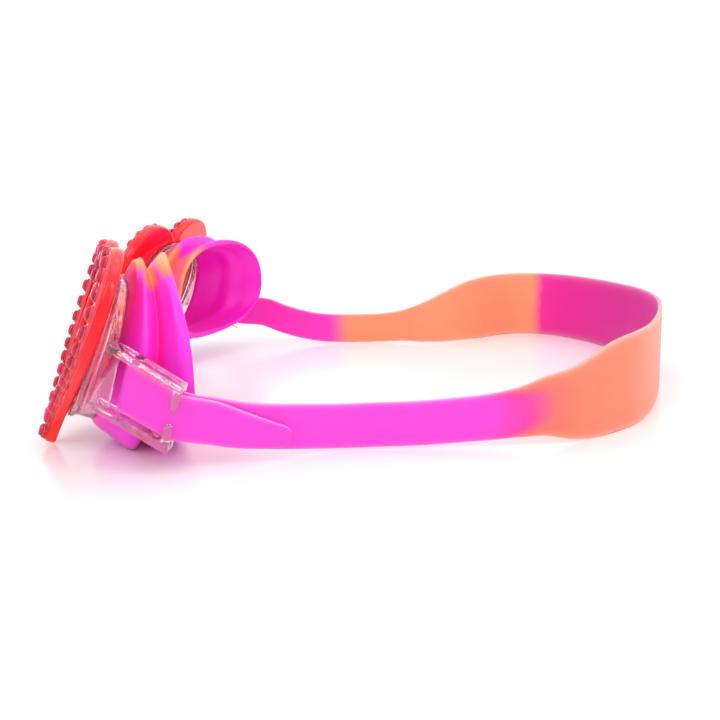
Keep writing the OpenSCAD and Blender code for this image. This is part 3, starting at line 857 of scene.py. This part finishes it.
for side, place, args, mat in (("left", same, ((21.8, 1.3, 23.6, 20.2, -0.1, 2.05, 2.8, 0.1, 2, 10), 4.4, 1.4, 0, False), M_SEAL_L),
                               ("right", right_pt, ((27.4, 1.35, 24.9, 15.8, 0, 2.3, 2.4, 0.2, 0, 6), -1, 0.4, 1.8, True), M_SEAL_R)):
    o = piece("seal_" + side, seal_mesh("seal_" + side, place, *args), mat, None, ["eye_seal_" + side])
    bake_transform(o)

bridge_u = np.linspace(0, 6, 97)
bridge_th = 2.2 + 0.5 * np.abs(bridge_u / 3 - 1) ** 3
o = piece("bridge", band_mesh("bridge", BRIDGE, 0, 6, 1 / 16, bridge_th, 0.8, None,
                              lambda u, a, p: {"ends": np.repeat(np.clip(np.abs(u[:, None] / 3 - 1) * 2.2 - 1.2, 0, 1), a.shape[1], 1)}),
          M_BRIDGE, "eyepieces", ["nose_bridge"])

o = piece("head_strap", band_mesh("head_strap", BAND, 0, 48, 0.1, STRAP_T, 0.45, None, strap_along), M_STRAP, None,
          ["strap_side_left", "strap_back", "strap_side_right"])
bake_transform(o)

for side, P, al in (("left", TAIL_L, end_along), ("right", TAIL_R, end_along_r)):
    o = piece("strap_end_" + side, band_mesh("strap_end_" + side, P, 0, len(P) - 1, 0.1, STRAP_T, 0.45, None, al), M_STRAP, None,
              ["strap_fold_" + side, "strap_tail_" + side])
    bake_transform(o)

# ------------------------------------------------------------------ floor, light and camera
k = Nodes("studio_floor")
c = k.mix(k.noise(3, 2, 0.5), (0.955, 0.955, 0.96, 1), (0.93, 0.93, 0.935, 1))
k.color(c)
k.set(Specular_IOR_Level=0.5, IOR=1.45)
k.rough(k.noise(9, 2, 0.5), 0.16, 0.22)
me = bpy.data.meshes.new("floor")
me.from_pydata([(-3, -3, 0), (3, -3, 0), (3, 3, 0), (-3, 3, 0)], [], [(0, 1, 2, 3)])
floor = bpy.data.objects.new("floor", me)
me.materials.append(k.mat)
scene.collection.objects.link(floor)
floor.location.z = -0.00005

world = bpy.data.worlds.new("studio")
scene.world = world
world.use_nodes = True
bg = world.node_tree.nodes["Background"]
bg.inputs[0].default_value = (1, 1, 1, 1)
bg.inputs[1].default_value = 1.06


def area(name, at, to, size, power, size_y=None):
    d = bpy.data.lights.new(name, "AREA")
    d.shape = "RECTANGLE"
    d.size, d.size_y, d.energy = size, size_y or size, power
    o = bpy.data.objects.new(name, d)
    scene.collection.objects.link(o)
    o.location = at
    o.rotation_mode = "QUATERNION"
    o.rotation_quaternion = (Vector(to) - Vector(at)).to_track_quat("-Z", "Y")
    return o


area("key", (0.35, -0.30, 0.55), (0, -0.02, 0.02), 0.3, 0.8)
area("top", (-0.10, 0.10, 0.60), (0, 0, 0.01), 0.4, 0.45)
area("strip", (0.30, 0.30, 0.30), (0.05, -0.05, 0.02), 0.06, 0.5, 0.5)

cam = bpy.data.cameras.new("camera")
cam.lens, cam.sensor_width, cam.sensor_fit = 42.95, 36.0, "HORIZONTAL"
cam.clip_start, cam.clip_end = 0.005, 20
cam_o = bpy.data.objects.new("camera", cam)
scene.collection.objects.link(cam_o)
right = Vector((0.05139081, 0.99817192, -0.03180873))
down = Vector((0.20989172, -0.04193473, -0.97682493))
fwd = Vector((-0.97637311, 0.04352343, -0.21166308))
M = Matrix.Identity(4)
for i in range(3):
    M[i][0], M[i][1], M[i][2] = right[i], -down[i], -fwd[i]
M[0][3], M[1][3], M[2][3] = 0.251327, -0.0169, 0.061615
cam_o.matrix_world = M
scene.camera = cam_o
scene.view_settings.view_transform = "Standard"
scene.view_settings.look = "None"
